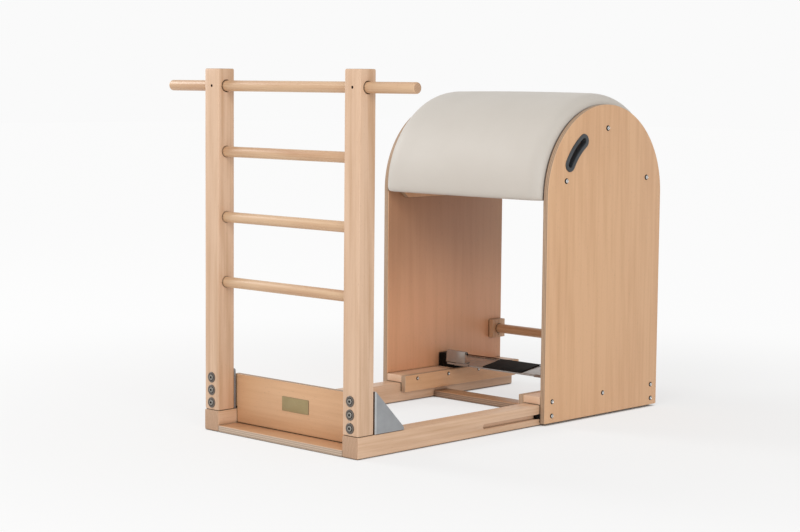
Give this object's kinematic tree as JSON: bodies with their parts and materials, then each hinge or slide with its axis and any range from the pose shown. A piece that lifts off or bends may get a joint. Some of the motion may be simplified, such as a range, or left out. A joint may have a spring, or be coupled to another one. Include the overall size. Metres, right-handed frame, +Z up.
{
  "type": "pilates ladder barrel",
  "caption": "Wooden ladder on a low rail base with a padded arched barrel that slides along the rails and is held by a sprung foot brake.",
  "frame": {"origin": "on the floor, at the centre of the overall box in plan", "axes": "+X across the ladder to the right of a user who faces the ladder from in front, +Y from the ladder to the barrel, +Z up"},
  "size_m": [0.919, 1.2352, 0.965],
  "materials": {
    "maple": "clear satin lacquer",
    "plywood": "clear satin lacquer over a pale veneer",
    "beech": "clear satin lacquer, turned",
    "grey_powder_coat": "fine grey powder coat",
    "zinc_steel": "zinc plated",
    "brass": "satin",
    "vinyl": "smooth upholstery vinyl over foam",
    "dark_plastic": "moulded",
    "black_nylon": "machined nylon",
    "bare_steel": "rolled, clear coated",
    "black_rubber": "matt"
  },
  "bodies": {
    "ladder_base": {"rail_left": "maple", "rail_right": "maple", "front_step_board": "plywood", "rear_cross_board": "plywood", "kick_panel": "plywood", "name_plate": "brass", "upright_left": "maple", "upright_bolt_left_1": "zinc_steel", "upright_bolt_left_2": "zinc_steel", "upright_bolt_left_3": "zinc_steel", "grub_screw_left": "zinc_steel", "corner_bracket_left": "grey_powder_coat", "upright_right": "maple", "upright_bolt_right_1": "zinc_steel", "upright_bolt_right_2": "zinc_steel", "upright_bolt_right_3": "zinc_steel", "grub_screw_right": "zinc_steel", "corner_bracket_right": "grey_powder_coat", "top_bar": "beech", "rung_1": "beech", "rung_2": "beech", "rung_3": "beech"},
    "barrel_carriage": {"side_panel_left": "plywood", "hand_slot_grommet_left": "dark_plastic", "arch_former_left": "plywood", "runner_board_left": "maple", "inner_plank_left": "plywood", "slot_guide_front_left": "black_nylon", "slot_guide_rear_left": "black_nylon", "dowel_socket_left": "beech", "pivot_block_left": "black_nylon", "pedal_spring_left": "zinc_steel", "side_panel_right": "plywood", "hand_slot_grommet_right": "dark_plastic", "arch_former_right": "plywood", "runner_board_right": "maple", "inner_plank_right": "plywood", "slot_guide_front_right": "black_nylon", "slot_guide_rear_right": "black_nylon", "dowel_socket_right": "beech", "pivot_block_right": "black_nylon", "pedal_spring_right": "zinc_steel", "barrel_shell": "plywood", "shell_batten_top": "maple", "shell_batten_front": "maple", "shell_batten_rear": "maple", "barrel_pad": "vinyl", "rear_dowel": "beech", "pivot_shaft": "zinc_steel"},
    "foot_pedal": {"foot_pedal": "bare_steel", "pedal_grip": "black_rubber", "pedal_end_guard_left": "bare_steel", "brake_shoe_holder_left": "black_nylon", "brake_shoe_rubber_left": "black_rubber", "pedal_end_guard_right": "bare_steel", "brake_shoe_holder_right": "black_nylon", "brake_shoe_rubber_right": "black_rubber"}
  },
  "joints": [
    {"name": "barrel_slide", "type": "slide", "parent": "ladder_base", "child": "barrel_carriage", "axis": [0, 1, 0], "range_m": [-0.218, 0]},
    {"name": "pedal_press", "type": "hinge", "parent": "barrel_carriage", "child": "foot_pedal", "pos_m": [0, 0.34064, 0.1008], "axis": [1, 0, 0], "range_deg": [0, 8], "stiffness_Nm_per_rad": 3, "springref_deg": -45.84, "deforming": ["pedal_spring_left", "pedal_spring_right"]}
  ]
}
